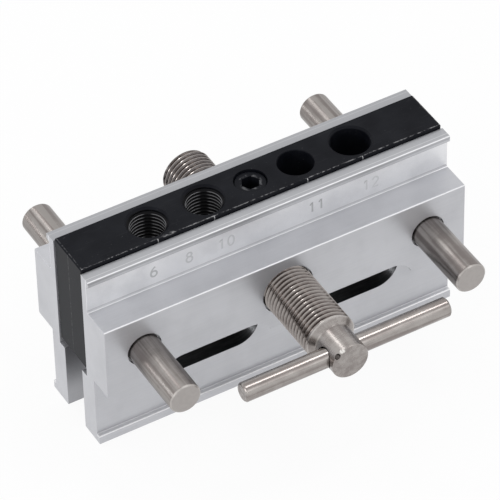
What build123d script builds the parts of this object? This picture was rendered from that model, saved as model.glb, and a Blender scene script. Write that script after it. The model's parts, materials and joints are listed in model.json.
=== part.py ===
"""A self centering doweling jig: a drill guide block between two jaws on a left and right hand screw.

X runs along the jig, -Y is the handle's side, Z is up. The origin is the middle of the block's underside,
the face that sits on the edge of the board. All sizes are in millimetres, and the jaws are closed.
"""
from build123d import *
import math
import os

os.makedirs("parts", exist_ok=True)

# ---------------------------------------------------------------- the drill guide block
block_length = 119.4
block_width = 16.0
block_height = 39.0
block_edge_chamfer = 0.4

tapped_bore_places = (-33.9, -15.5)  # along X, for threaded bushes and the 10 mm drill
tapped_bore_radius = 6.0  # M12
tapped_bore_depth = 25.0
tapped_bore_mouth = 0.6
drill_bore_radius = 5.1  # goes on below the thread

plain_bore_11_place = 15.1
plain_bore_11_radius = 5.5
plain_bore_11_mouth = 0.2
plain_bore_12_place = 33.5
plain_bore_12_radius = 6.0
plain_bore_12_mouth = 0.6

# ---------------------------------------------------------------- rods and screw
axis_height = 12.86  # of both rods and the screw above the block's underside
rod_radius = 5.0
rod_end_distance = 12.3  # from the block's end to the rod's axis
rod_end_chamfer = 0.5
rod_stand_out = 5.2  # past the jaws when these are fully open

screw_radius = 7.9
screw_thread_spare = 4.7  # thread left in front of the open front jaw
screw_rear_chamfer = 1.0
shoulder_length = 1.8  # cone from the thread down to the head
head_radius = 5.9
head_length = 9.8
head_chamfer = 0.3
groove_width = 7.2  # round the middle of the screw, for the set screw's point
groove_root_radius = 5.0

bar_radius = 3.0
bar_length = 68.0
bar_offset = 1.3  # the bar is staked a little off its middle
bar_inset = 5.1  # from the front of the head to the bar's axis
bar_end_chamfer = 0.5

set_screw_radius = 4.96  # M10
set_screw_recess = 0.7
set_screw_top_chamfer = 0.4
socket_across_flats = 5.0
socket_depth = 5.0
point_radius = 3.5
point_length = 4.0

# ---------------------------------------------------------------- the jaws, all thicknesses from the inner face
jaw_travel = 18.5  # of each jaw, out from the block
jaw_overhang = 0.3  # past each end of the block
jaw_top = 37.85
lip_height = 2.3
lip_thickness = 4.2
wall_thickness = 2.75
boss_top = 25.1
boss_bottom = -0.3
boss_thickness = 12.67
plate_thickness = 4.4
foot_height = 3.0
foot_thickness = 5.85
jaw_bottom = -25.05
clamp_step = 2.9  # the clamping faces stand in under the block by this
clamp_top = -2.2
jaw_edge_chamfer = 0.3
recess_fillet = 0.45  # where the wall stands on the boss
relief_width = 0.4  # of the counterbore round each hole in the boss
relief_depth = 1.2

window_height = 14.6
window_centers = 22.3  # between the centres of its two round ends
window_place = 23.85  # of its middle along X
window_level = -2.9  # of its middle along Z

# ---------------------------------------------------------------- clearances
jaw_gap = 0.15  # closed jaw to the block's side
rod_clearance = 0.08  # radial, rod in jaw
screw_clearance = 0.05  # radial, screw in jaw
screw_block_clearance = 0.2  # radial, screw through the block
set_screw_clearance = 0.04  # radial, set screw in its hole
point_clearance = 0.2  # point of the set screw above the root of the groove
bar_clearance = 0.3  # radial, bar in the head's cross hole

# ---------------------------------------------------------------- places that follow
rod_place = block_length / 2 - rod_end_distance
inner_face = block_width / 2 + jaw_gap
boss_face = inner_face + boss_thickness
open_face = boss_face + jaw_travel
rod_length = 2 * (open_face + rod_stand_out)
jaw_length = block_length + 2 * jaw_overhang
screw_rear = open_face
thread_front = -(open_face + screw_thread_spare)
head_start = thread_front - shoulder_length
screw_front = head_start - head_length
bar_place = screw_front + bar_inset
set_screw_top = block_height - set_screw_recess
set_screw_bottom = axis_height + groove_root_radius + point_clearance


# ---------------------------------------------------------------- center_block
with BuildPart() as center_block:
    Box(block_length, block_width, block_height, align=(Align.CENTER, Align.CENTER, Align.MIN))
    chamfer(center_block.edges(), length=block_edge_chamfer)
    # the guide bores, from the top
    for place in tapped_bore_places:
        with Locations((place, 0, block_height)):
            CounterSinkHole(tapped_bore_radius, tapped_bore_radius + tapped_bore_mouth, tapped_bore_depth, 90)
            Hole(drill_bore_radius)
    with Locations((plain_bore_11_place, 0, block_height)):
        CounterSinkHole(plain_bore_11_radius, plain_bore_11_radius + plain_bore_11_mouth, None, 90)
    with Locations((plain_bore_12_place, 0, block_height)):
        CounterSinkHole(plain_bore_12_radius, plain_bore_12_radius + plain_bore_12_mouth, None, 90)
    # the cross bores: rods pressed in, the screw running free
    with BuildSketch(Plane.XZ):
        with Locations((0, axis_height)):
            with GridLocations(2 * rod_place, 0, 2, 1):
                Circle(rod_radius)
            Circle(screw_radius + screw_block_clearance)
    extrude(amount=block_width, both=True, mode=Mode.SUBTRACT)
    # the set screw's hole, down to the screw's bore
    with Locations((0, 0, block_height)):
        Hole(set_screw_radius + set_screw_clearance, depth=block_height - axis_height)
center_block.part.label = "center_block"
export_step(center_block.part, "parts/center_block.step")


# ---------------------------------------------------------------- set_screw, with a dog point and a hexagon socket
with BuildPart() as set_screw:
    with BuildSketch(Plane.XZ):
        with BuildLine():
            Polyline(
                (0, set_screw_bottom),
                (point_radius, set_screw_bottom),
                (point_radius, set_screw_bottom + point_length),
                (set_screw_radius, set_screw_bottom + point_length + set_screw_radius - point_radius),
                (set_screw_radius, set_screw_top - set_screw_top_chamfer),
                (set_screw_radius - set_screw_top_chamfer, set_screw_top),
                (0, set_screw_top),
                close=True,
            )
        make_face()
    revolve(axis=Axis.Z)
    with BuildSketch(Plane.XY.offset(set_screw_top)):
        RegularPolygon(socket_across_flats / 2, 6, major_radius=False)
    extrude(amount=-socket_depth, mode=Mode.SUBTRACT)
set_screw.part.label = "set_screw"
export_step(set_screw.part, "parts/set_screw.step")


# ---------------------------------------------------------------- guide_rod_left and guide_rod_right
for label, place in (("guide_rod_left", -rod_place), ("guide_rod_right", rod_place)):
    with BuildPart() as guide_rod:
        with BuildSketch(Plane.XZ):
            with Locations((place, axis_height)):
                Circle(rod_radius)
        extrude(amount=rod_length / 2, both=True)
        chamfer(guide_rod.edges().filter_by(GeomType.CIRCLE), length=rod_end_chamfer)
    guide_rod.part.label = label
    export_step(guide_rod.part, f"parts/{label}.step")


# ---------------------------------------------------------------- lead_screw, turned, with its groove and cross hole
screw_axis = Axis((0, 0, axis_height), (0, 1, 0))
with BuildPart() as lead_screw:
    with BuildSketch(Plane.XY.offset(axis_height)):
        with BuildLine():
            Polyline(
                (0, screw_front),
                (head_radius - head_chamfer, screw_front),
                (head_radius, screw_front + head_chamfer),
                (head_radius, head_start),
                (screw_radius, thread_front),
                (screw_radius, -groove_width / 2),
                (groove_root_radius, -groove_width / 2),
                (groove_root_radius, groove_width / 2),
                (screw_radius, groove_width / 2),
                (screw_radius, screw_rear - screw_rear_chamfer),
                (screw_radius - screw_rear_chamfer, screw_rear),
                (0, screw_rear),
                close=True,
            )
        make_face()
    revolve(axis=screw_axis)
    with BuildSketch(Plane.YZ):
        with Locations((bar_place, axis_height)):
            Circle(bar_radius + bar_clearance)
    extrude(amount=screw_radius, both=True, mode=Mode.SUBTRACT)
lead_screw.part.label = "lead_screw"
export_step(lead_screw.part, "parts/lead_screw.step")


# ---------------------------------------------------------------- tommy_bar
with BuildPart() as tommy_bar:
    with BuildSketch(Plane.YZ.offset(bar_offset)):
        with Locations((bar_place, axis_height)):
            Circle(bar_radius)
    extrude(amount=bar_length / 2, both=True)
    chamfer(tommy_bar.edges().filter_by(GeomType.CIRCLE), length=bar_end_chamfer)
tommy_bar.part.label = "tommy_bar"
export_step(tommy_bar.part, "parts/tommy_bar.step")


# ---------------------------------------------------------------- front_jaw and rear_jaw
# One extruded section, read from the top of the lip down the outside and back up the clamping face. Each point is
# a thickness out from the inner face, and a height.
section = (
    (0, jaw_top),
    (lip_thickness, jaw_top),
    (lip_thickness, jaw_top - lip_height),
    (wall_thickness, jaw_top - lip_height),
    (wall_thickness, boss_top),
    (boss_thickness, boss_top),
    (boss_thickness, boss_bottom),
    (plate_thickness, boss_bottom),
    (plate_thickness, jaw_bottom + foot_height),
    (foot_thickness, jaw_bottom + foot_height),
    (foot_thickness, jaw_bottom),
    (-clamp_step, jaw_bottom),
    (-clamp_step, clamp_top),
    (0, clamp_top),
)
outer_corners = (
    (lip_thickness, jaw_top),
    (lip_thickness, jaw_top - lip_height),
    (boss_thickness, boss_top),
    (boss_thickness, boss_bottom),
    (foot_thickness, jaw_bottom + foot_height),
)
recess_corner = (wall_thickness, boss_top)


def corners_at(sketch, places):
    """The sketch's corners that stand at the given thicknesses and heights."""
    return [
        corner
        for corner in sketch.vertices()
        for out, height in places
        if math.isclose(abs(corner.X), inner_face + out) and math.isclose(corner.Y, height)
    ]


for label, side in (("front_jaw", -1), ("rear_jaw", 1)):
    with BuildPart() as jaw:
        with BuildSketch(Plane.YZ) as jaw_section:
            with BuildLine():
                Polyline([(side * (inner_face + out), height) for out, height in section], close=True)
            make_face()
            chamfer(corners_at(jaw_section, outer_corners), length=jaw_edge_chamfer)
            fillet(corners_at(jaw_section, [recess_corner]), radius=recess_fillet)
        extrude(amount=jaw_length / 2, both=True)
        # the rod holes and the screw hole, each relieved by a shallow counterbore at the boss
        holes = (
            (-rod_place, rod_radius + rod_clearance),
            (0, screw_radius + screw_clearance),
            (rod_place, rod_radius + rod_clearance),
        )
        for place, radius in holes:
            with Locations(Plane((place, side * boss_face, axis_height), z_dir=(0, side, 0))):
                CounterBoreHole(radius, radius + relief_width, relief_depth)
        # the sighting windows, milled through the plate and the lower edge of the boss
        with BuildSketch(Plane.XZ):
            with Locations((-window_place, window_level), (window_place, window_level)):
                SlotCenterToCenter(window_centers, window_height)
        extrude(amount=open_face, both=True, mode=Mode.SUBTRACT)
    jaw.part.label = label
    export_step(jaw.part, f"parts/{label}.step")
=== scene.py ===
# %% [markdown]
# # A self centering doweling jig
#
# The jig guides a drill square into the edge of a board. A black steel block with four guide bores stands
# between two aluminium jaws, and one screw with two opposite threads moves both jaws alike, so the block
# always ends over the middle of the board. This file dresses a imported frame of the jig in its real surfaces.
# The frame says where each piece is, so every size below is either read from it or is a real size in
# millimetres.

# %% Load the frame
import json
import math

import bmesh
import bpy
import numpy as np
from mathutils import Matrix, Vector


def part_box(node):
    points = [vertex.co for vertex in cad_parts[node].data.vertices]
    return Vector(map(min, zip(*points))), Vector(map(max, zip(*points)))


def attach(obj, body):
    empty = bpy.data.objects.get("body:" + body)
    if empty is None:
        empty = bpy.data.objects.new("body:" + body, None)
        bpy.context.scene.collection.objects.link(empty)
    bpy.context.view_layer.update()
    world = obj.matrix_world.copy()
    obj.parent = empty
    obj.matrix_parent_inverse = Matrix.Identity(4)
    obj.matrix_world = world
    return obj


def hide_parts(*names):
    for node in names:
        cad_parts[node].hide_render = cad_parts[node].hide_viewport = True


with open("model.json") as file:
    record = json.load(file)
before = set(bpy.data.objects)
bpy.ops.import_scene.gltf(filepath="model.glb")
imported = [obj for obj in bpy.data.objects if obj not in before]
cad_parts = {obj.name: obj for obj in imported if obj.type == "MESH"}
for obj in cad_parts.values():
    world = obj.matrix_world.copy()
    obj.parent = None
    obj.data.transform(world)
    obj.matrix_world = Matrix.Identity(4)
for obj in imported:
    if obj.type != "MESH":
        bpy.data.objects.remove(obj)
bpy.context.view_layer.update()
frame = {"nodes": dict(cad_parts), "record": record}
record = frame["record"]
MM = 0.001


def node_box(name):
    """The lowest and highest corners of a frame piece, in millimetres."""
    low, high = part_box(name)
    return np.array(low) / MM, np.array(high) / MM


def mount(name):
    """One stated interface of the jig: its place and its sizes in millimetres."""
    entry = next(item for item in record["mounts"] if item["name"] == name)
    return np.array(entry["pos_m"]) / MM, entry["dims"]


block_low, block_high = node_box("center_block")
jaw_low, jaw_high = node_box("front_jaw")
screw_low, screw_high = node_box("lead_screw")
bar_low, bar_high = node_box("tommy_bar")
rod_end = node_box("guide_rod_left")[1][1]
axis_height = (screw_low[2] + screw_high[2]) / 2
print("block", block_high - block_low, "screw axis at", round(axis_height, 2))

# %% [markdown]
# ## Meshes from arrays
#
# Most of this jig was turned, drilled or threaded, so its surfaces are grids: one direction runs along the
# profile and the other goes round the axis. A grid is worked out as one array, and its neighbours become
# quads. Welding the points afterwards closes seams and poles, which is simpler than treating them apart.

# %% Grids of points and their quads
weld_distance = 0.0005
sliver_length = 0.0001
flat_angle = math.radians(0.3)


def grid_quads(rows, columns):
    """Quads of a grid stored row by row: each takes a point, its right neighbour and the two points under
    them in the next row."""
    corner = (np.arange(rows - 1)[:, None] * columns + np.arange(columns - 1)[None, :]).ravel()
    return np.stack((corner, corner + 1, corner + columns + 1, corner + columns), axis=1)


def weld(mesh, sharp_angle, flatten=False):
    """Joins points that coincide, turns the faces outwards and marks edges over sharp_angle degrees as sharp.
    With flatten, the triangles of a flat face become one face again."""
    work = bmesh.new()
    work.from_mesh(mesh)
    bmesh.ops.remove_doubles(work, verts=work.verts, dist=weld_distance * MM)
    bmesh.ops.dissolve_degenerate(work, edges=work.edges, dist=sliver_length * MM)
    if flatten:
        bmesh.ops.dissolve_limit(work, angle_limit=flat_angle, verts=work.verts, edges=work.edges)
    bmesh.ops.recalc_face_normals(work, faces=work.faces)
    for face in work.faces:
        face.smooth = True
    for edge in work.edges:
        edge.smooth = len(edge.link_faces) == 2 and edge.calc_face_angle() < math.radians(sharp_angle)
    work.to_mesh(mesh)
    work.free()


def mesh_of(name, grids, sharp_angle=35):
    """One mesh from several grids of points in millimetres."""
    points, quads, count = [], [], 0
    for grid in grids:
        rows, columns, _ = grid.shape
        points.append(grid.reshape(-1, 3) * MM)
        quads.append(grid_quads(rows, columns) + count)
        count += rows * columns
    mesh = bpy.data.meshes.new(name)
    mesh.from_pydata(np.concatenate(points).tolist(), [], np.concatenate(quads).tolist())
    weld(mesh, sharp_angle)
    return mesh


def show(name, mesh, body, material, replaced=()):
    """Puts a mesh in the scene as a piece that rides on a body and takes its finish from a material slot."""
    piece = bpy.data.objects.new(name, mesh)
    bpy.context.scene.collection.objects.link(piece)
    piece.data.materials.clear()
    piece.data.materials.append(material)
    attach(piece, body)
    if replaced:
        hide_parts(*replaced)
    print(name, len(mesh.polygons), "faces")
    return piece


# %% [markdown]
# ## Turned profiles
#
# A turned piece is a profile of radius and length swept round an axis. Real corners are never quite sharp,
# and it is the small round on each that catches the light, so every corner of a profile is cut and joined
# by a short curve.


# %% Rounded corners and turning
def rounded(corners, cut, steps=4):
    """A polyline with each inner corner replaced by the curve (1-t)^2 A + 2t(1-t) P + t^2 B, where A and B
    lie on the two sides of the corner P, at the distance cut or at 0.4 of a shorter side. One more point
    before A and one after B keep the shading of the straight sides flat."""
    corners = np.asarray(corners, float)
    t = np.linspace(0, 1, steps + 1)[:, None]
    out = [corners[:1]]
    for before, here, after in zip(corners[:-2], corners[1:-1], corners[2:]):
        back, ahead = before - here, after - here
        reach = min(cut, 0.4 * np.linalg.norm(back), 0.4 * np.linalg.norm(ahead))
        start = here + back / np.linalg.norm(back) * reach
        end = here + ahead / np.linalg.norm(ahead) * reach
        hold = start + back / np.linalg.norm(back) * 0.1 * reach
        let_go = end + ahead / np.linalg.norm(ahead) * 0.1 * reach
        out += [hold[None], (1 - t) ** 2 * start + 2 * t * (1 - t) * here + t**2 * end, let_go[None]]
    out.append(corners[-1:])
    return np.concatenate(out)


def around(center, direction, radius, along, angle):
    """Points at a radius and an angle round a line through center: center + along d + r (cos a u + sin a v),
    where u and v are the two row axes square to the line's direction d."""
    d = np.eye(3)["xyz".index(direction)]
    u, v = [axis for name, axis in zip("xyz", np.eye(3)) if name != direction]
    radius, along, angle = np.broadcast_arrays(radius, along, angle)
    across = np.cos(angle)[..., None] * u + np.sin(angle)[..., None] * v
    return np.asarray(center, float) + along[..., None] * d + radius[..., None] * across


def turned(center, direction, profile, columns=96):
    """A profile of (radius, along) pairs carried round its axis."""
    angle = np.linspace(0, 2 * math.pi, columns + 1)[None, :]
    return around(center, direction, profile[:, :1], profile[:, 1:], angle)


def pin_profile(radius, start, end, chamfer, cut=0.12):
    """The profile of a plain pin with chamfered ends, from one pole to the other."""
    corners = [
        (0, start),
        (radius - chamfer, start),
        (radius, start + chamfer),
        (radius, end - chamfer),
        (radius - chamfer, end),
        (0, end),
    ]
    return rounded(corners, cut)


# %% [markdown]
# ## Sums on a material's sockets
#
# A finish such as worn black oxide is a formula: how far a point lies from an edge, times a noise, above some
# level. Wiring that by hand hides the formula, so a small class wraps a socket and lets Python's own signs
# add the nodes.


# %% A socket that takes part in sums
class Value:
    """A number that varies over a surface. +, -, * and abs() add Math nodes to its material."""

    def __init__(self, recipe, socket):
        self.recipe = recipe
        self.socket = socket

    def _sum(self, operation, *terms):
        inputs = dict(enumerate(terms))
        return self.recipe.node("ShaderNodeMath", {"operation": operation}, inputs)

    def __add__(self, other):
        return self._sum("ADD", self, other)

    def __sub__(self, other):
        return self._sum("SUBTRACT", self, other)

    def __rsub__(self, other):
        return self._sum("SUBTRACT", other, self)

    def __mul__(self, other):
        return self._sum("MULTIPLY", self, other)

    __radd__ = __add__
    __rmul__ = __mul__

    def __abs__(self):
        return self._sum("ABSOLUTE", self)

    def larger(self, other):
        return self._sum("MAXIMUM", self, other)

    def smaller(self, other):
        return self._sum("MINIMUM", self, other)

    def rise(self, low, high):
        """0 below low, 1 above high, and a smooth step between."""
        settings = {"interpolation_type": "SMOOTHSTEP"}
        inputs = {"Value": self, "From Min": low, "From Max": high, "To Min": 0.0, "To Max": 1.0}
        return self.recipe.node("ShaderNodeMapRange", settings, inputs)


class Recipe:
    """One material: its nodes, and the place of a point on the jig in millimetres as x, y and z."""

    def __init__(self, name):
        self.material = bpy.data.materials.new(name)
        self.material.use_nodes = True
        self.tree = self.material.node_tree
        self.tree.nodes.clear()
        place = self.node("ShaderNodeTexCoord", output="Object")
        self.place = self.node("ShaderNodeVectorMath", {"operation": "SCALE"}, {0: place, "Scale": 1 / MM})
        split = self.tree.nodes.new("ShaderNodeSeparateXYZ")
        self.tree.links.new(self.place.socket, split.inputs[0])
        self.x, self.y, self.z = (Value(self, socket) for socket in split.outputs)

    def node(self, kind, settings=None, inputs=None, output=0):
        """Adds a node, sets its settings first and then its inputs, from numbers, colours or other values."""
        node = self.tree.nodes.new(kind)
        for key, setting in (settings or {}).items():
            setattr(node, key, setting)
        for key, given in (inputs or {}).items():
            if isinstance(given, Value):
                self.tree.links.new(given.socket, node.inputs[key])
            else:
                node.inputs[key].default_value = given
        return Value(self, node.outputs[output]) if node.outputs else None

    def distance(self, point):
        """Millimetres from a point."""
        inputs = {0: self.place, 1: tuple(point)}
        return self.node("ShaderNodeVectorMath", {"operation": "DISTANCE"}, inputs, "Value")

    def from_line(self, direction, point):
        """Millimetres from the line through a point along a row axis, whose own coordinate is left out."""
        offsets = {
            index: getattr(self, name) - at
            for index, (name, at) in enumerate(zip("xyz", point))
            if name != direction
        }
        across = self.node("ShaderNodeCombineXYZ", None, offsets)
        return self.node("ShaderNodeVectorMath", {"operation": "LENGTH"}, {0: across}, "Value")

    def noise(self, scale, detail=3.0, roughness=0.5, stretch=(1, 1, 1), shift=(0, 0, 0)):
        """Smooth noise around 0.5, scale features to a millimetre, stretched by a factor along each axis."""
        placing = {"Vector": self.place, "Scale": tuple(1 / s for s in stretch), "Location": shift}
        place = self.node("ShaderNodeMapping", {"vector_type": "POINT"}, placing)
        inputs = {"Vector": place, "Scale": scale, "Detail": detail, "Roughness": roughness}
        return self.node("ShaderNodeTexNoise", None, inputs)

    def mix(self, share, first, second):
        """A colour between two colours."""
        inputs = {"Factor": share, 6: first, 7: second}
        return self.node("ShaderNodeMix", {"data_type": "RGBA"}, inputs, output=2)

    def bump(self, height, distance):
        """A normal bent by a height between 0 and 1, at its depth in millimetres."""
        return self.node("ShaderNodeBump", None, {"Height": height, "Distance": distance * MM})

    def surface(self, inputs):
        """Ends the material with a Principled shader that takes these inputs."""
        shader = self.node("ShaderNodeBsdfPrincipled", None, inputs)
        self.node("ShaderNodeOutputMaterial", None, {"Surface": shader})
        return self.material


# %% [markdown]
# ## Finishes
#
# The jaws are extruded aluminium, clear anodised: the die leaves long faint lines, the ends show the marks of
# the saw, and the windows were milled afterwards. The block and its set screw are steel in black oxide, worn
# back to bright metal along the front edge, and the crests in the tapped bores carry a painted reflection in
# grey. The rods, the screw and its bar are nickel plated, warmer than the aluminium and far glossier. The
# recipes know which face a point lies on. Along the corners of the jaws run thin bright and dark lines,
# painted highlights and painted shade, kept as lists of places across their section. Some other faces carry
# painted light and painted shade too, as each recipe says.

# %% The jaws' section
jaw_gap = 0.15
wall_thickness = 2.75
recess_face = block_low[1] - jaw_gap - wall_thickness  # of the front jaw, so it is negative
# The other faces are distances out from the jig's middle, for both jaws.
lip_face = 12.35
boss_face = 20.82
plate_face = 12.55
foot_face = 14.0
clamp_face = 5.25
lip_bottom = jaw_high[2] - 2.3
boss_top = 25.1
foot_top = -22.05
edge_inset = 0.12  # how far inside its corner the middle of a broken edge lies
shade_start, shade_end = 42, 56  # along x, where painted shade darkens the clamping faces towards the ends

# Painted highlights and painted shade: thin bright and dark lines painted along the jaws' corners. Each line's
# distance out, its height, how far it reaches and how strong it is.
painted_highlight_lines = (
    (lip_face - edge_inset, jaw_high[2] - edge_inset, 0.12, 0.65),
    (lip_face, lip_bottom, 0.2, 0.25),
    (boss_face - edge_inset, boss_top - edge_inset, 0.13, 0.6),
    (-recess_face + 0.3, boss_top, 0.12, 0.7),
    (foot_face - edge_inset, foot_top - edge_inset, 0.16, 0.7),
    (plate_face + 0.6, foot_top, 0.6, 0.5),
)
# Painted shade: the dark lines beside the corners.
painted_shade_lines = (
    (lip_face, jaw_high[2] - 0.75, 0.3, 0.25),
    (-recess_face, boss_top + 0.7, 0.15, 0.25),
    (plate_face, foot_top + 0.6, 0.2, 0.1),
)


# %% Anodised aluminium
def along_jaw(recipe, out, height, reach, soft):
    """1 within a reach of the line that runs along both jaws at a distance from the middle and a height, 0
    past the soft edge."""
    across = recipe.node("ShaderNodeCombineXYZ", None, {0: abs(recipe.y) - out, 1: recipe.z - height})
    away = recipe.node("ShaderNodeVectorMath", {"operation": "LENGTH"}, {0: across}, "Value")
    return 1 - away.rise(reach, reach + soft)


def anodised_aluminium():
    """Satin metal: colour and roughness follow die lines along x, or saw marks across the cut ends. The top
    of the lip was milled across, and it carries painted shade, a little more on the rear jaw. The wall of the
    recess carries painted light, the clamping faces painted shade towards the jaws' ends, and the corners
    thin painted highlights and painted shade."""
    recipe = Recipe("anodised_aluminium")
    at_end = abs(recipe.x).rise(jaw_high[0] - 0.12, jaw_high[0] - 0.05)
    on_top = recipe.z.rise(jaw_high[2] - 0.1, jaw_high[2] - 0.05)
    on_wall = 1 - abs(abs(recipe.y) + recess_face).rise(0.1, 0.2)
    on_wall = on_wall * recipe.z.rise(boss_top + 0.3, boss_top + 0.5)
    die_lines = recipe.noise(2.2, detail=2, stretch=(90, 1, 1))
    saw_marks = recipe.noise(2.6, detail=2, stretch=(1, 1, 14))
    mill_marks = recipe.noise(1.3, detail=3, stretch=(1, 12, 1))
    lines = die_lines * (1 - at_end) * (1 - on_top) + saw_marks * at_end + mill_marks * on_top
    clouds = recipe.noise(0.045, detail=2)
    grain = recipe.noise(5.0, detail=4, roughness=0.65)
    tone = lines * 0.22 + clouds * 0.55 + grain * 0.23
    color = recipe.mix(tone.rise(0.3, 0.7), (0.515, 0.52, 0.545, 1), (0.585, 0.59, 0.615, 1))
    # Painted light: the wall of the recess is painted paler than the rest.
    wall_tone = clouds.rise(0.35, 0.65) * 0.6 + grain.rise(0.3, 0.7) * 0.4
    wall = recipe.mix(wall_tone, (0.83, 0.835, 0.855, 1), (0.95, 0.955, 0.97, 1))
    color = recipe.mix(on_wall * 0.92, color, wall)
    smudges = recipe.noise(0.12, detail=3, roughness=0.55, shift=(7, 3, 1)).rise(0.42, 0.72)
    color = recipe.mix(smudges * 0.16, color, (0.36, 0.365, 0.39, 1))
    # Painted shade: the top of the lip is painted darker, a little more on the rear jaw.
    color = recipe.mix(on_top * (0.6 + recipe.y.rise(0, 1) * 0.15), color, (0.34, 0.345, 0.36, 1))
    # Painted shade lines, then painted highlight lines, along the jaws' corners.
    for out, height, reach, share in painted_shade_lines:
        color = recipe.mix(along_jaw(recipe, out, height, reach, 0.15) * share, color, (0.10, 0.10, 0.11, 1))
    painted_highlight = 0.0
    for out, height, reach, share in painted_highlight_lines:
        line = along_jaw(recipe, out, height, reach, 0.08) * share
        painted_highlight = line.larger(painted_highlight)
    color = recipe.mix(painted_highlight, color, (0.92, 0.92, 0.93, 1))
    # Painted shade: the clamping faces are painted darker towards the jaws' ends, more higher up under the
    # block.
    inside = (1 - abs(recipe.y).rise(clamp_face + 0.05, clamp_face + 0.15)) * (1 - at_end)
    inside = inside * abs(recipe.x).rise(shade_start, shade_end)
    color = recipe.mix(inside * (0.3 + recipe.z.rise(-20, -4) * 0.45), color, (0.06, 0.06, 0.065, 1))
    height = lines * 0.3 + grain * 0.5
    return recipe.surface({
        "Base Color": color,
        "Metallic": 0.65,
        "Roughness": 0.34 + tone * 0.10,
        "Normal": recipe.bump(height, 0.0025),
    })


aluminium = anodised_aluminium()


# %% Milled aluminium
def milled_aluminium():
    """The smoother wall that the cutter leaves in the windows, with fine steps along y, painted dark as
    painted shade inside the windows.
    """
    recipe = Recipe("milled_aluminium")
    steps = recipe.noise(1.8, detail=2, stretch=(10, 1, 10))
    # Painted shade: far darker than the anodised jaws, for the shade inside the windows.
    color = recipe.mix(steps.rise(0.3, 0.7), (0.15, 0.153, 0.16, 1), (0.22, 0.223, 0.23, 1))
    return recipe.surface({
        "Base Color": color,
        "Metallic": 1.0,
        "Roughness": 0.26 + steps * 0.1,
        "Normal": recipe.bump(steps, 0.002),
    })


milled = milled_aluminium()

# %% Black oxide
edge_break = 0.4
painted_light_top = 36.0  # painted light on the block's sides, up to here
knock_place = -31.0  # along the front top edge
index_places = (-34.8, -16.4, 14.5, 33.0)
ring_start = (2.5, 2.8)  # a painted highlight ring round the socket fades in and out over these radii
ring_end = (3.3, 3.7)


def black_oxide(scribed=False):
    """Near black steel. The block, which is scribed, has sides painted lighter as painted light, specks and
    scuffs, bright wear at its top edges, with a painted highlight at the ends' top edges, and index lines. The
    set screw has only a speckled painted highlight ring round its socket."""
    recipe = Recipe("black_oxide_block" if scribed else "black_oxide")
    clouds = recipe.noise(0.12, detail=3)
    grain = recipe.noise(4.0, detail=4, roughness=0.7)
    tone = clouds * 0.6 + grain * 0.4
    color = recipe.mix(tone.rise(0.3, 0.7), (0.0035, 0.004, 0.0065, 1), (0.0105, 0.0115, 0.015, 1))
    if scribed:
        # Painted light: the sides are painted lighter up to just under the jaws' top, for light bounced into
        # the windows.
        on_side = abs(recipe.y).rise(block_high[1] - 0.15, block_high[1] - 0.05)
        painted_side_light = on_side * (1 - recipe.z.rise(painted_light_top - 1, painted_light_top))
        color = recipe.mix(painted_side_light, color, (0.20, 0.205, 0.225, 1))
        specks = recipe.noise(1.5, detail=2, shift=(9, 4, 2)).rise(0.71, 0.77)
        scuffs = recipe.noise(0.9, detail=3, stretch=(7, 0.5, 1), shift=(2, 6, 0)).rise(0.60, 0.70)
        color = recipe.mix(specks * 0.12 + scuffs * 0.015, color, (0.30, 0.30, 0.31, 1))
        bare_and_glint = wear_glint_and_index_lines(recipe)
        color = recipe.mix(bare_and_glint, color, (0.55, 0.55, 0.56, 1))
    else:
        from_axis = recipe.from_line("z", (0, 0, 0))
        # Painted highlight: a speckled grey ring round the socket stands in for the highlights on its chamfer.
        ring = from_axis.rise(*ring_start) * (1 - from_axis.rise(*ring_end))
        ring = ring * recipe.z.rise(block_high[2] - 1.2, block_high[2] - 0.8)
        bare_and_glint = ring * recipe.noise(0.6, detail=2, shift=(2, 5, 0)).rise(0.48, 0.66) * 0.4
        color = recipe.mix(bare_and_glint, color, (0.25, 0.25, 0.26, 1))
    return recipe.surface({
        "Base Color": color,
        "Metallic": bare_and_glint,
        "Roughness": 0.36 + tone * 0.14,
        "Specular IOR Level": 0.08,
        "Normal": recipe.bump(tone, 0.01),
    })


def wear_glint_and_index_lines(recipe):
    """Bare metal and painted highlight on the block, from 0 to 1: speckled wear in a band at the front top
    edge, with one harder knock, a fainter speckled band at the top edges of both ends that is partly wear and
    partly painted highlight, a short line across the front edge at each bore, and the middle line down both
    ends."""
    below_top = abs(recipe.z - block_high[2]) * 1.5
    from_edge = abs(recipe.y - block_low[1] - edge_break) + below_top
    band = 1 - from_edge.rise(0.05, 0.32)
    speckle = recipe.noise(1.1, detail=4, roughness=0.8, stretch=(1.6, 1, 1)).rise(0.44, 0.60)
    patches = recipe.noise(0.10, detail=1, shift=(3, 0, 0)).rise(0.36, 0.56)
    knock = 1 - recipe.distance((knock_place, block_low[1] + 0.5, block_high[2])).rise(1.4, 2.4)
    band = band.larger((1 - from_edge.rise(0.2, 0.9)) * knock * 0.6)
    bare_and_glint = band * speckle * (0.22 + patches * 0.3 + knock * 0.4)
    # Partly wear, partly painted highlight: a faint speckled line along the top edges of both ends.
    from_end = abs(abs(recipe.x) - block_high[0] + edge_break) + below_top
    bare_and_glint = bare_and_glint.larger((1 - from_end.rise(0.05, 0.3)) * speckle * 0.16)
    near_edge = 1 - (recipe.y - block_low[1]).rise(0.3, 0.45)
    near_edge = near_edge * recipe.z.rise(jaw_high[2] - 0.4, jaw_high[2] - 0.2)
    for place in index_places:
        line = 1 - abs(recipe.x - place).rise(0.07, 0.16)
        bare_and_glint = bare_and_glint.larger(line * near_edge * 0.8)
    at_end = abs(recipe.x).rise(block_high[0] - 0.2, block_high[0] - 0.1)
    middle = (1 - abs(recipe.y).rise(0.05, 0.14)) * at_end * recipe.noise(0.9, detail=2).rise(0.3, 0.7)
    return bare_and_glint.larger(middle * 0.22)


block_steel = black_oxide(scribed=True)
black_steel = black_oxide()

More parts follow.
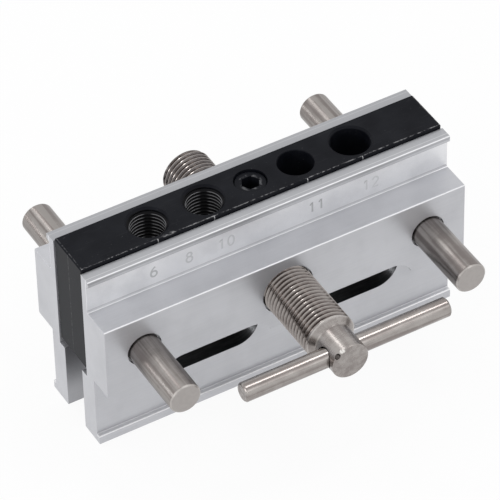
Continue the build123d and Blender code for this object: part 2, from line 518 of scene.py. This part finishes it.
# %% Nickel plate
screw_center = (0, 0, axis_height)
screw_radius = (screw_high[0] - screw_low[0]) / 2
thread_depth = 0.88
front_thread_end = -44.3
head_radius = 5.9
punch_angle = math.radians(138)
burr_angle = math.radians(117)
punch_center = around((0, screw_low[1] + 0.05, axis_height), "y", head_radius, 0.0, punch_angle)
burr_center = around((0, screw_low[1] + 0.3, axis_height), "y", head_radius, 0.0, burr_angle)


def nickel_plate(name, streak_stretch, streak_share, roughness, tarnish=0.0, threaded=False):
    """Glossy warm metal with faint turning lines, soft smears and drawing streaks. Tarnish darkens it, a
    rod's cut end is paler, and its rim carries a painted highlight. On the screw the threaded length is
    darker and its valleys much darker, partly oil and partly painted shade, and its crests carry a painted
    highlight: the tone follows the distance from the screw's axis. Where the head is staked, the pit is
    painted dark as painted shade and its burr bright as a painted highlight."""
    recipe = Recipe(name)
    smears = recipe.noise(0.22, detail=3, roughness=0.6)
    grain = recipe.noise(6.0, detail=3, roughness=0.6)
    turning = recipe.noise(3.0, detail=2, stretch=(12, 1, 12))
    streaks = recipe.noise(0.8, detail=2, stretch=streak_stretch).rise(0.35, 0.65)
    tone = (smears * 0.6 + grain * 0.15 + turning * 0.25) * (1 - streak_share) + streaks * streak_share
    color = recipe.mix(tone.rise(0.3, 0.7), (0.245, 0.218, 0.208, 1), (0.40, 0.375, 0.358, 1))
    color = recipe.mix(tarnish, color, (0.10, 0.09, 0.085, 1))
    out = abs(recipe.y)
    cut_end = 1 - abs(out - rod_end).rise(0.05, 0.1)
    color = recipe.mix(cut_end * 0.8, color, (0.43, 0.405, 0.39, 1))
    # Painted highlight: a pale ring on the chamfer at each rod's end.
    rim = out.rise(rod_end - 0.5, rod_end - 0.42) * (1 - out.rise(rod_end - 0.12, rod_end - 0.06))
    color = recipe.mix(rim * 0.4, color, (0.75, 0.72, 0.69, 1))
    if threaded:
        from_axis = recipe.from_line("y", screw_center)
        in_thread = recipe.y.rise(front_thread_end + 0.2, front_thread_end + 0.7)
        in_thread = in_thread * (1 - recipe.y.rise(screw_high[1] - 0.1, screw_high[1] - 0.05))
        # Partly oil, partly painted shade in the valleys; a painted highlight on the crests.
        valley = (1 - from_axis.rise(screw_radius - thread_depth, screw_radius - 0.2)) * in_thread
        crest = from_axis.rise(screw_radius - 0.2, screw_radius - 0.05) * in_thread
        color = recipe.mix(in_thread * 0.25, color, (0.12, 0.095, 0.085, 1))
        color = recipe.mix(crest * 0.35, color, (0.55, 0.51, 0.48, 1))
        color = recipe.mix(valley * 0.9, color, (0.05, 0.036, 0.032, 1))
        roughness = roughness + (1 - in_thread) * 0.1
        # Painted shade in the punch's pit, and a painted highlight on its burr.
        pit = 1 - recipe.distance(punch_center).rise(0.9, 1.08)
        burr_noise = recipe.noise(1.6, detail=2).rise(0.42, 0.58)
        burr = (1 - recipe.distance(burr_center).rise(0.6, 1.1)) * burr_noise
        color = recipe.mix(pit, color, (0.05, 0.043, 0.04, 1))
        color = recipe.mix(burr, color, (0.8, 0.78, 0.75, 1))
    return recipe.surface({
        "Base Color": color,
        "Metallic": 1.0,
        "Roughness": tone * 0.12 + roughness,
        "Normal": recipe.bump(turning * 0.6 + grain * 0.4, 0.002),
    })


nickel = nickel_plate("nickel_rods", (1, 30, 1), 0.35, 0.28, tarnish=0.28)
bar_nickel = nickel_plate("nickel_bar", (30, 1, 1), 0.25, 0.16)
thread_nickel = nickel_plate("nickel_screw", (1, 8, 1), 0.1, 0.11, threaded=True)

# %% The steel in the tapped bores
bush_thread_depth = 0.77
bore_places = [mount(f"tapped_bore_{side}")[0] for side in ("left", "right")]
bore_crest_radius = mount("tapped_bore_left")[1]["r_mm"] - bush_thread_depth
slant_x, slant_y = 0.87, 0.49  # the direction across a bore between its two sides with a painted reflection


def tapped_steel():
    """Black oxide in the valleys of a bore's thread. The crests carry a painted reflection in grey at two
    sides
    of the bore: there a point is near the crest radius, and far from the bore's axis along the slant."""
    recipe = Recipe("tapped_steel")
    left, right = bore_places
    near = recipe.from_line("z", left).smaller(recipe.from_line("z", right))
    slant = recipe.x * slant_x - recipe.y * slant_y
    aside = abs(slant - left[0] * slant_x).smaller(abs(slant - right[0] * slant_x))
    # Painted reflection: grey crests at two sides of each bore, nearly black between.
    crest = 1 - near.rise(bore_crest_radius + 0.02, bore_crest_radius + 0.2)
    crest = crest * (0.03 + aside.rise(0.6, 1.8) * 0.97)
    return recipe.surface({
        "Base Color": recipe.mix(crest * 0.8, (0.004, 0.004, 0.005, 1), (0.24, 0.24, 0.25, 1)),
        "Metallic": crest * 0.8,
        "Roughness": 0.3,
        "Specular IOR Level": 0.08,
    })


bore_steel = tapped_steel()

# %% [markdown]
# ## Jaws and block
#
# The frame already holds the true shape of the jaws and the block, with every hole and both windows. What it
# lacks is the small round on each edge. A copy is welded, its flat faces are joined up again, and a Bevel
# modifier then breaks each sharp edge, which draws the thin bright lines along an extrusion. The walls of
# the windows get the milled finish, with its colour painted dark as painted shade.

# %% Copies with broken edges
window_place = 23.85
window_centers = 22.3
window_height = 14.6
window_level = -2.9


def in_window(face):
    """True on the milled wall of a window: its normal is square to y, and it lies within the obround's
    outline, less than half the height from the line between its two centres."""
    x, z = abs(face.center[0]) / MM, face.center[2] / MM
    past_straight = max(0.0, abs(x - window_place) - window_centers / 2)
    return abs(face.normal[1]) < 0.1 and math.hypot(past_straight, z - window_level) < window_height / 2 + 0.1


def softened(node, name, body, material, width, sharp=33):
    """A welded copy of a frame piece with every edge over a sharp angle rounded by a width in millimetres."""
    mesh = frame["nodes"][node].data.copy()
    mesh.name = name
    weld(mesh, sharp, flatten=True)
    piece = show(name, mesh, body, material, replaced=(node,))
    bevel = piece.modifiers.new("broken_edges", "BEVEL")
    bevel.width = width * MM
    bevel.segments = 3
    bevel.limit_method = "ANGLE"
    bevel.angle_limit = math.radians(sharp)
    bevel.harden_normals = True
    bevel.use_clamp_overlap = True
    return piece


for side in ("front", "rear"):
    jaw = softened(f"{side}_jaw", f"{side}_jaw_body", f"{side}_jaw", aluminium, 0.16)
    jaw.data.materials.append(milled)
    for face in jaw.data.polygons:
        face.material_index = int(in_window(face))
softened("center_block", "guide_block", "block", block_steel, 0.1)
softened("set_screw", "locking_screw", "block", black_steel, 0.06)

# %% [markdown]
# ## Rods and bar
#
# The rods and the bar are ground pins. They are turned on a fine grid, because a bright streak runs down
# each one and would show every facet.

# %% The turned pins
pin_chamfer = 0.5
for side in ("left", "right"):
    low, high = node_box(f"guide_rod_{side}")
    center = ((low[0] + high[0]) / 2, 0, (low[2] + high[2]) / 2)
    profile = pin_profile((high[0] - low[0]) / 2, low[1], high[1], pin_chamfer)
    mesh = mesh_of(f"rod_{side}", [turned(center, "y", profile)])
    show(f"rod_{side}", mesh, "block", nickel, replaced=(f"guide_rod_{side}",))

bar_center = (0, (bar_low[1] + bar_high[1]) / 2, (bar_low[2] + bar_high[2]) / 2)
bar_radius = (bar_high[1] - bar_low[1]) / 2
profile = pin_profile(bar_radius, bar_low[0], bar_high[0], pin_chamfer)
mesh = mesh_of("handle_bar", [turned(bar_center, "x", profile)])
show("handle_bar", mesh, "screw", bar_nickel, replaced=("tommy_bar",))

# %% [markdown]
# ## Threads
#
# A thread could be a texture, but its crests stand out against the white background, so it is cut for real.
# The grid leans with the helix: a point at the angle a round the axis is moved along it by pitch * a / 2 pi,
# so each crest is one row of the grid and stays crisp. The grid starts and ends one turn too far, and its
# rows are then held between the two end planes, where welding shuts them to a clean ring.

# %% A helical grid
# The form over one pitch: a flat crest, straight flanks and a rounded valley.
THREAD_PHASE = np.array([0, 0.06, 0.10, 0.36, 0.42, 0.5, 0.58, 0.64, 0.90, 0.94])
THREAD_HEIGHT = np.array([1, 1, 0.90, 0.08, 0.01, 0, 0.01, 0.08, 0.90, 1])
thread_sharp = 50


def helix(center, direction, start, end, pitch, hand, radius_of, columns=96):
    """A threaded surface. Row i lies at the phase and turn that i stands for, moved along by
    hand * pitch * a / 2 pi at the angle a. Past an end it is held in the end's plane, at the height that the
    form has where it crosses that plane; radius_of gives the radius from the height and the place along."""
    turns = math.ceil((end - start) / pitch) + 2
    phase = (np.arange(turns)[:, None] + THREAD_PHASE[None, :]).ravel()[:, None]
    angle = np.linspace(0, 2 * math.pi, columns + 1)[None, :]
    free = start + (phase - 1) * pitch + hand * pitch * angle / (2 * math.pi)
    along = np.clip(free, start, end)
    crossing = (phase + (along - free) / pitch) % 1
    height = np.interp(crossing, np.append(THREAD_PHASE, 1), np.append(THREAD_HEIGHT, 1))
    return around(center, direction, radius_of(height, along), along, angle + 0 * along)


def smooth_step(value, low, high):
    """0 at low, 1 at high and 3t^2 - 2t^3 between."""
    t = np.clip((value - low) / (high - low), 0, 1)
    return t * t * (3 - 2 * t)


# %% [markdown]
# The lead screw has a left hand thread in front and a right hand one behind, a groove in the middle for the
# set screw's point, and a smaller plain head. Its two threads, the groove and the ends share rings of the
# same number of points, so they weld into one closed skin. The bar's hole and the punch mark that stakes the
# bar are cut out of it afterwards.

# %% The lead screw
screw_pitch = 1.5
groove_edge = 3.6
groove_radius = 5.0
shoulder_length = 1.5
head_chamfer = 0.3
head_round = 0.2
rear_chamfer = 0.5
shoulder_fade = 0.6
groove_fade = 1


def screw_thread_radius(height, along):
    """Crest radius less the part of the depth that the form leaves open. The depth fades at the shoulder and
    at the groove, and the rear chamfer cuts the last crests."""
    fade = smooth_step(along, front_thread_end, front_thread_end + shoulder_fade)
    fade = fade * smooth_step(np.abs(along), groove_edge, groove_edge + groove_fade)
    cut = screw_high[1] - along + screw_radius - rear_chamfer
    return np.minimum(screw_radius - thread_depth * (1 - height) * fade, cut)


front_thread = helix(screw_center, "y", front_thread_end, -groove_edge, screw_pitch, 1, screw_thread_radius)
rear_thread = helix(screw_center, "y", groove_edge, screw_high[1], screw_pitch, -1, screw_thread_radius)
groove = np.array([
    (screw_radius, -groove_edge),
    (groove_radius, -groove_edge),
    (groove_radius, groove_edge),
    (screw_radius, groove_edge),
])
head = rounded([
    (0, screw_low[1]),
    (head_radius - head_chamfer, screw_low[1]),
    (head_radius, screw_low[1] + head_chamfer),
    (head_radius, front_thread_end - shoulder_length),
    (screw_radius, front_thread_end),
], head_round)
rear_pole = np.broadcast_to((0, screw_high[1], axis_height), rear_thread[-1].shape)
rear_end = np.stack((rear_thread[-1], rear_pole))
turned_parts = [turned(screw_center, "y", profile) for profile in (groove, head)]
screw_mesh = mesh_of("jaw_screw", [front_thread, rear_thread, rear_end] + turned_parts, thread_sharp)


# %% Cutting holes
def cut_out(mesh, cutter_grid):
    """The mesh less the solid inside a closed grid, as a new mesh."""
    cutter = bpy.data.objects.new("cutter", mesh_of("cutter", [cutter_grid]))
    body = bpy.data.objects.new("cut_body", mesh)
    for thing in (cutter, body):
        bpy.context.scene.collection.objects.link(thing)
    modifier = body.modifiers.new("cut", "BOOLEAN")
    modifier.operation = "DIFFERENCE"
    modifier.solver = "EXACT"
    modifier.object = cutter
    depsgraph = bpy.context.evaluated_depsgraph_get()
    result = bpy.data.meshes.new_from_object(body.evaluated_get(depsgraph))
    for thing in (cutter, body):
        bpy.data.objects.remove(thing)
    weld(result, thread_sharp)
    return result


bar_clearance = 0.3
hole = pin_profile(bar_radius + bar_clearance, -screw_radius, screw_radius, chamfer=0.1)
screw_mesh = cut_out(screw_mesh, turned((0, bar_center[1], axis_height), "x", hole, columns=64))
punch_radius = 0.95
half_turn = np.linspace(0, math.pi, 13)
ball = np.stack((punch_radius * np.sin(half_turn), -punch_radius * np.cos(half_turn)), axis=1)
screw_mesh = cut_out(screw_mesh, turned(punch_center, "y", ball, columns=32))
show("jaw_screw", screw_mesh, "screw", thread_nickel, replaced=("lead_screw",))

# %% [markdown]
# The two tapped bores take threaded bushes. Their threads are sleeves set into the plain bores of the frame:
# the inside is the thread, and the outside lies buried in the steel.

# %% Threads in the tapped bores
bush_pitch = 1.25
bore_mouth = 0.6
bottom_fade = 2
sleeve_wall = 0.2
for side in ("left", "right"):
    place, sizes = mount(f"tapped_bore_{side}")
    major = sizes["r_mm"]
    top = block_high[2] - bore_mouth
    bottom = top - sizes["length_mm"]

    def bore_thread_radius(height, along):
        """Major radius less the height of the form. It fades out at the bottom, and the mouth is a 45 degree
        cone."""
        fade = smooth_step(along, bottom, bottom + bottom_fade)
        return np.maximum(major - bush_thread_depth * height * fade, major + along - top)

    center = (place[0], place[1], 0)
    thread = helix(center, "z", bottom, top, bush_pitch, -1, bore_thread_radius, columns=72)
    outside = major + sleeve_wall
    sleeve = np.array([(major, bottom), (outside, bottom), (outside, top), (major, top)])
    mesh = mesh_of(f"bore_thread_{side}", [thread, turned(center, "z", sleeve, columns=72)], thread_sharp)
    show(f"bore_thread_{side}", mesh, "block", bore_steel)

# %% [markdown]
# ## The numbers
#
# The drill sizes are marked on the front jaw, as a dull grey mark burnt into the anodising. A digit is one or
# two strokes, and a stroke is a thin flat bar carried along arcs and lines, as a marking head would draw it.
# Where two strokes of a digit cross, their faces would flicker, so the second lies a hair further out.

# %% Strokes
digit_width = 0.6  # of the digit's height


def arc(cx, cy, rx, ry, start, end, steps=20):
    """Points of an ellipse about (cx, cy) with half widths rx and ry, from one angle in degrees to the
    next."""
    angle = np.radians(np.linspace(start, end, steps + 1))
    return np.stack((cx + rx * np.cos(angle), cy + ry * np.sin(angle)), axis=1)


def digit_strokes(digit):
    """The strokes of a digit in a box digit_width wide and 1 high."""
    lower_loop = arc(0.3, 0.29, 0.27, 0.29, 90, 450)
    strokes = {
        "0": [arc(0.3, 0.5, 0.27, 0.5, 90, 450, 28)],
        "1": [np.array([(0.1, 0.76), (0.32, 1.0), (0.32, 0.0)])],
        "2": [np.concatenate((arc(0.3, 0.72, 0.26, 0.28, 170, -35), [(0.03, 0.0), (0.58, 0.0)]))],
        "6": [arc(0.62, 0.29, 0.59, 0.71, 107, 180), lower_loop],
        "8": [lower_loop, arc(0.3, 0.78, 0.21, 0.22, 270, 630)],
    }
    return strokes[digit]


def stroke_bar(path, width, depth):
    """A bar of a width and a depth carried along a flat path: at each point the half width is laid off square
    to the path's direction there, and the ends are closed."""
    direction = np.gradient(path, axis=0)
    direction /= np.linalg.norm(direction, axis=1)[:, None]
    side = np.stack((-direction[:, 1], direction[:, 0]), axis=1) * width / 2
    corners = [(side, 0), (side, 1), (-side, 1), (-side, 0), (side, 0)]
    edges = [np.column_stack((path + offset, np.full(len(path), depth * up))) for offset, up in corners]
    ring = np.stack(edges, axis=1)
    start = np.repeat(ring[:1].mean(axis=1, keepdims=True), len(corners), axis=1)
    end = np.repeat(ring[-1:].mean(axis=1, keepdims=True), len(corners), axis=1)
    return np.concatenate((start, ring, end))


# %% The numbers on the front jaw
number_height = 3.6
number_middle = 30.5
digit_step = 0.84  # from one digit to the next, of the height
stroke_width = 0.58
stroke_depth = 0.06
stroke_proud = 0.015
stroke_step = 0.006
# Each number's place along the jaw, and how far its mark is worn away.
numbers = {
    "6": (-38.2, 0.72),
    "8": (-26.6, 0.9),
    "10": (-14.4, 0.93),
    "11": (15.6, 0.62),
    "12": (33.9, 0.98),
}


def number_mark(number, wear):
    """A dull grey mark, a little uneven like all laser marking, and the paler the more it is worn."""
    recipe = Recipe(f"mark_{number}")
    fade = recipe.noise(1.4, detail=3)
    color = recipe.mix(fade.rise(0.3, 0.7), (0.20, 0.20, 0.21, 1), (0.30, 0.30, 0.31, 1))
    color = recipe.mix(wear, color, (0.68, 0.685, 0.70, 1))
    return recipe.surface({"Base Color": color, "Metallic": 0.3, "Roughness": 0.5 + fade * 0.1})


for number, (place, wear) in numbers.items():
    bars = []
    first_left = place - number_height * (digit_width + digit_step * (len(number) - 1)) / 2
    for index, digit in enumerate(number):
        left = first_left + index * number_height * digit_step
        for layer, path in enumerate(digit_strokes(digit)):
            path = path * number_height + (left, number_middle - number_height / 2)
            bar = stroke_bar(path, stroke_width, stroke_depth)
            out = recess_face - stroke_proud - layer * stroke_step + bar[..., 2]
            bars.append(np.stack((bar[..., 0], out, bar[..., 1]), axis=-1))
    mesh = mesh_of(f"number_{number}", bars)
    show(f"number_{number}", mesh, "front_jaw", number_mark(number, wear))

# %% [markdown]
# ## Studio
#
# The jig was photographed on white with soft light from above and from both sides. The floor is pale and
# keeps a faint shadow. The world is white where the camera or a mirror-like surface looks at it, and a
# calmer grey for the light it gives. Five lamps do the rest: one above on the right, one behind, one in
# front, a long one on the left that draws the streaks down the pins, and a small low one at the rear left.

# %% Floor
floor_gap = 0.05  # under the feet, whose flat faces would flicker on the floor
floor_level = jaw_low[2] - floor_gap
floor_half = 1500
sides = (-floor_half, floor_half)
floor_grid = np.array([[(x, y, floor_level) for x in sides] for y in sides], float)
floor_mesh = mesh_of("floor", [floor_grid])
floor = bpy.data.objects.new("floor", floor_mesh)
bpy.context.scene.collection.objects.link(floor)
paper = Recipe("white_paper")
diffuse = paper.node("ShaderNodeBsdfDiffuse", None, {"Color": (0.95, 0.95, 0.95, 1)})
glow = paper.node("ShaderNodeEmission", None, {"Color": (1, 1, 1, 1), "Strength": 1.0})
looks = paper.node("ShaderNodeLightPath", output="Is Camera Ray")
mirrored = paper.node("ShaderNodeLightPath", output="Is Glossy Ray")
passed = paper.node("ShaderNodeLightPath", output="Is Transmission Ray")
share = looks.larger(mirrored).larger(passed) * 0.92
both = paper.node("ShaderNodeMixShader", None, {0: share, 1: diffuse, 2: glow})
paper.node("ShaderNodeOutputMaterial", None, {"Surface": both})
floor.data.materials.append(paper.material)

# %% World
world = bpy.data.worlds.new("studio")
bpy.context.scene.world = world
world.use_nodes = True
tree = world.node_tree
tree.nodes.clear()
path = tree.nodes.new("ShaderNodeLightPath")
look = path.outputs["Is Camera Ray"]
for kind in ("Is Glossy Ray", "Is Transmission Ray"):
    either = tree.nodes.new("ShaderNodeMath")
    either.operation = "MAXIMUM"
    tree.links.new(look, either.inputs[0])
    tree.links.new(path.outputs[kind], either.inputs[1])
    look = either.outputs[0]
room = tree.nodes.new("ShaderNodeBackground")
room.inputs["Color"].default_value = (0.8, 0.8, 0.81, 1)
white = tree.nodes.new("ShaderNodeBackground")
white.inputs["Color"].default_value = (1, 1, 1, 1)
choose = tree.nodes.new("ShaderNodeMixShader")
output = tree.nodes.new("ShaderNodeOutputWorld")
tree.links.new(look, choose.inputs[0])
tree.links.new(room.outputs[0], choose.inputs[1])
tree.links.new(white.outputs[0], choose.inputs[2])
tree.links.new(choose.outputs[0], output.inputs["Surface"])


# %% Lamps
def softbox(name, place, width, height, watts):
    """A lamp of a width and a height in metres, turned to face the jig."""
    lamp = bpy.data.lights.new(name, "AREA")
    lamp.shape = "RECTANGLE"
    lamp.size = width
    lamp.size_y = height
    lamp.energy = watts
    thing = bpy.data.objects.new(name, lamp)
    bpy.context.scene.collection.objects.link(thing)
    thing.location = place
    thing.rotation_euler = (-Vector(place)).to_track_quat("-Z", "Y").to_euler()


softbox("top_lamp", (0.354, -0.044, 0.934), 0.2, 0.2, 0.8)
softbox("back_lamp", (-0.166, 0.642, 0.749), 0.15, 0.15, 0.52)
softbox("front_lamp", (0.40, -0.80, 0.75), 0.4, 0.4, 0.35)
softbox("left_lamp", (-0.84, -0.26, 0.34), 1.0, 0.16, 1.35)
softbox("rear_lamp", (-0.76, 0.64, 0.13), 0.14, 0.12, 0.35)

# %% [markdown]
# ## Camera
#
# The photograph was taken from far off with a long lens, from the left, well above the jig. Its place, its
# angles and its focal length were worked out from the straight edges of the jaws and the known bores.

# %% Camera
camera_place = np.array([-435.13, -774.906, 835.566])
camera_azimuth = math.radians(29.278)
camera_elevation = math.radians(42.826)
camera_roll = math.radians(-1.427)
camera_lens = 299.262
film_width = 36

forward = np.array([
    math.sin(camera_azimuth) * math.cos(camera_elevation),
    math.cos(camera_azimuth) * math.cos(camera_elevation),
    -math.sin(camera_elevation),
])
level_right = np.array([math.cos(camera_azimuth), -math.sin(camera_azimuth), 0])
level_up = np.cross(level_right, forward)
right = math.cos(camera_roll) * level_right + math.sin(camera_roll) * level_up
up = np.cross(right, forward)
camera = bpy.data.objects.new("camera", bpy.data.cameras.new("camera"))
camera.data.lens = camera_lens
camera.data.sensor_width = film_width
camera.data.clip_end = 10
bpy.context.scene.collection.objects.link(camera)
turn = Matrix((right, up, -forward)).transposed().to_4x4()
camera.matrix_world = Matrix.Translation(Vector(camera_place) * MM) @ turn
bpy.context.scene.camera = camera
bpy.context.scene.view_settings.view_transform = "Standard"
print("camera right", np.round(right, 4), "forward", np.round(forward, 4))
